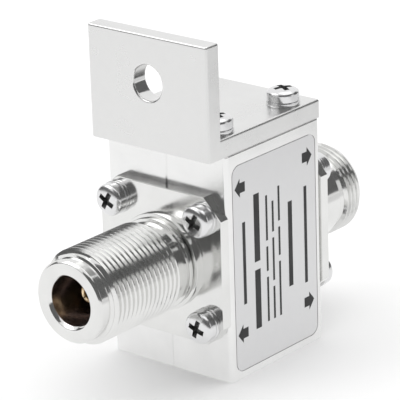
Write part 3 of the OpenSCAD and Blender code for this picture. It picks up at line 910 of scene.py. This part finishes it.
class ARRESTOR_OT_stage(DressOperator, bpy.types.Operator):
    """Sets the floor, the light and the camera"""
    bl_idname = "arrestor.stage"
    bl_label = "Stage"

    # Soft boxes as (name, place, target, width, height, power), in metres and watts
    boxes = (("key_box", (-0.35, -0.35, 0.55), (0, 0, 0.02), 0.4, 0.4, 0.7),
             ("top_box", (0.05, 0.15, 0.7), (0, 0, 0.02), 0.5, 0.5, 0.5))
    # Cards that the metal mirrors, as (name, first and last turn to the right of the front,
    # lowest and highest angle above the horizon, finish), with the angles in degrees
    cards = (("left_card", -85, -33, 1, 25, "felt"), ("near_card", -33, -3, 1, 23, "felt"),
             ("front_card", -3, 98, 1, 50, "felt"), ("side_card", 98, 122, 27, 50, "felt"),
             ("grey_card", 98, 122, 1, 27, "paper"), ("rear_card", 122, 172, 3, 43, "felt"))
    card_distance = 0.8
    card_steps = 32
    # Grey sheet on the floor behind the label side, as its corners in x and y, in metres
    sheet = ((0.307, -0.102), (0.616, 0.265), (0.158, 0.652), (-0.152, 0.285))
    sheet_lift = 0.0002
    floor_radius = 6.0
    floor_sides = 96
    # Width of the camera's sensor in millimetres, and the nearest and furthest that it sees
    sensor = 36.0
    clip = (0.01, 20.0)

    def add_camera(self, scene):
        stage = scene.arrestor_stage
        a, e, roll = stage.azimuth, stage.elevation, stage.roll
        back = Vector((math.sin(a) * math.cos(e), -math.cos(a) * math.cos(e), math.sin(e)))
        right = Vector((math.cos(a), math.sin(a), 0))
        up = back.cross(right)
        across = math.cos(roll) * right + math.sin(roll) * up
        upright = -math.sin(roll) * right + math.cos(roll) * up
        camera = bpy.data.cameras.new("camera")
        camera.lens = stage.lens
        camera.sensor_width = self.sensor
        camera.clip_start, camera.clip_end = self.clip
        made = bpy.data.objects.new("camera", camera)
        scene.collection.objects.link(made)
        spot = Vector((0, 0, stage.aim_z)) - stage.aim_left * across + stage.aim_up * upright
        turned = Matrix((across, upright, back)).transposed().to_4x4()
        made.matrix_world = Matrix.Translation(spot + stage.distance * back) @ turned
        scene.camera = made

    def add_boxes(self, scene):
        for name, place, target, width, height, power in self.boxes:
            light = bpy.data.lights.new(name, "AREA")
            light.shape = "RECTANGLE"
            light.size, light.size_y, light.energy = width, height, power
            made = bpy.data.objects.new(name, light)
            scene.collection.objects.link(made)
            aim = Vector(target) - Vector(place)
            made.matrix_world = (Matrix.Translation(place)
                                 @ aim.to_track_quat("-Z", "Y").to_matrix().to_4x4())

    def add_floor(self, scene):
        bm = bmesh.new()
        bmesh.ops.create_circle(bm, cap_ends=True, segments=self.floor_sides,
                                radius=self.floor_radius)
        floor = to_object("floor", bm)
        paper = plain_finish("floor_paper", scene.arrestor_colours.floor, grain=400.0, change=0)
        # In the metal's reflections the paper glows a little, so that its shadow is thinner
        tree = paper.node_tree
        ray = tree.nodes.new("ShaderNodeLightPath")
        thin = tree.nodes.new("ShaderNodeMath")
        thin.operation = "MULTIPLY"
        thin.inputs[1].default_value = scene.arrestor_stage.bounce
        glow = tree.nodes.new("ShaderNodeEmission")
        mix = tree.nodes.new("ShaderNodeMixShader")
        tree.links.new(ray.outputs["Is Glossy Ray"], thin.inputs[0])
        tree.links.new(thin.outputs["Value"], mix.inputs["Fac"])
        tree.links.new(tree.nodes["Principled BSDF"].outputs["BSDF"], mix.inputs[1])
        tree.links.new(glow.outputs["Emission"], mix.inputs[2])
        tree.links.new(mix.outputs["Shader"], tree.nodes["Material Output"].inputs["Surface"])
        floor.data.materials.append(paper)

    def mirror_only(self, card, finish):
        """Lets a card show in the metal and nowhere else."""
        card.data.materials.append(finish)
        card.visible_camera = card.visible_diffuse = card.visible_shadow = False
        card.visible_transmission = False

    def add_cards(self, scene):
        colours = scene.arrestor_colours
        finishes = {"felt": plain_finish("card_felt", colours.card, grain=200.0),
                    "paper": plain_finish("card_paper", colours.sheet, grain=200.0)}
        for name, first, last, low, high, finish in self.cards:
            bm = bmesh.new()
            ends = [bm.verts.new((0, -self.card_distance,
                                  self.card_distance * math.tan(math.radians(angle))))
                    for angle in (low, high)]
            side = bm.edges.new(ends)
            swing(bm, math.radians(first))
            bmesh.ops.spin(bm, geom=ends + [side], cent=(0, 0, 0), axis=(0, 0, 1),
                           dvec=(0, 0, 0), angle=math.radians(last - first),
                           steps=self.card_steps, use_merge=False)
            self.mirror_only(to_object(name, bm), finishes[finish])
        bm = bmesh.new()
        bm.faces.new([bm.verts.new((x, y, self.sheet_lift)) for x, y in self.sheet])
        self.mirror_only(to_object("side_sheet", bm), finishes["paper"])

    def add_surroundings(self, scene):
        world = bpy.data.worlds.new("surroundings")
        world.use_nodes = True
        scene.world = world
        ground = world.node_tree.nodes["Background"]
        ground.inputs["Color"].default_value = (1, 1, 1, 1)
        ground.inputs["Strength"].default_value = scene.arrestor_stage.sky

    def execute(self, context):
        scene = context.scene
        self.add_floor(scene)
        self.add_cards(scene)
        self.add_surroundings(scene)
        self.add_boxes(scene)
        self.add_camera(scene)
        scene.view_settings.view_transform = "Standard"
        return {"FINISHED"}


class ARRESTOR_PT_panel(bpy.types.Panel):
    """Lists the arrestor's pieces and settings"""
    bl_idname = "ARRESTOR_PT_panel"
    bl_label = "Lightning arrestor"
    bl_space_type = "VIEW_3D"
    bl_region_type = "UI"
    bl_category = "Arrestor"

    def draw(self, context):
        for operator in OPERATORS:
            self.layout.operator(operator.bl_idname)
        for title, group in GROUPS:
            box = self.layout.box()
            box.label(text=title)
            values = getattr(context.scene, group)
            for prop in type(values).__annotations__:
                box.prop(values, prop)


GROUPS = (("Jacks", "arrestor_jack"), ("Barrels", "arrestor_barrel"),
          ("Contacts", "arrestor_contact"), ("Fasteners", "arrestor_fastener"),
          ("Block, bracket and label", "arrestor_body"), ("Colours", "arrestor_colours"),
          ("Stage", "arrestor_stage"))
SETTINGS = (ArrestorJackSizes, ArrestorBarrelSizes, ArrestorContactSizes, ArrestorFastenerSizes,
            ArrestorBodySizes, ArrestorColours, ArrestorStageSettings)
OPERATORS = (ARRESTOR_OT_block, ARRESTOR_OT_bracket, ARRESTOR_OT_label, ARRESTOR_OT_jacks,
             ARRESTOR_OT_contacts, ARRESTOR_OT_fasteners, ARRESTOR_OT_circuit, ARRESTOR_OT_stage)
CLASSES = SETTINGS + OPERATORS + (ARRESTOR_PT_panel,)


def register():
    """Registers the classes and hangs the settings on the scene."""
    for made in CLASSES:
        bpy.utils.register_class(made)
    for (_, name), made in zip(GROUPS, SETTINGS):
        setattr(bpy.types.Scene, name, PointerProperty(type=made))


def unregister():
    """Takes the settings and the classes off again."""
    for _, name in GROUPS:
        delattr(bpy.types.Scene, name)
    for made in reversed(CLASSES):
        bpy.utils.unregister_class(made)


def main():
    """Makes every piece and the stage."""
    register()
    bpy.ops.arrestor.block()
    bpy.ops.arrestor.bracket()
    bpy.ops.arrestor.label()
    bpy.ops.arrestor.jacks()
    bpy.ops.arrestor.contacts()
    bpy.ops.arrestor.fasteners()
    bpy.ops.arrestor.circuit()
    bpy.ops.arrestor.stage()


if __name__ == "__main__":
    main()
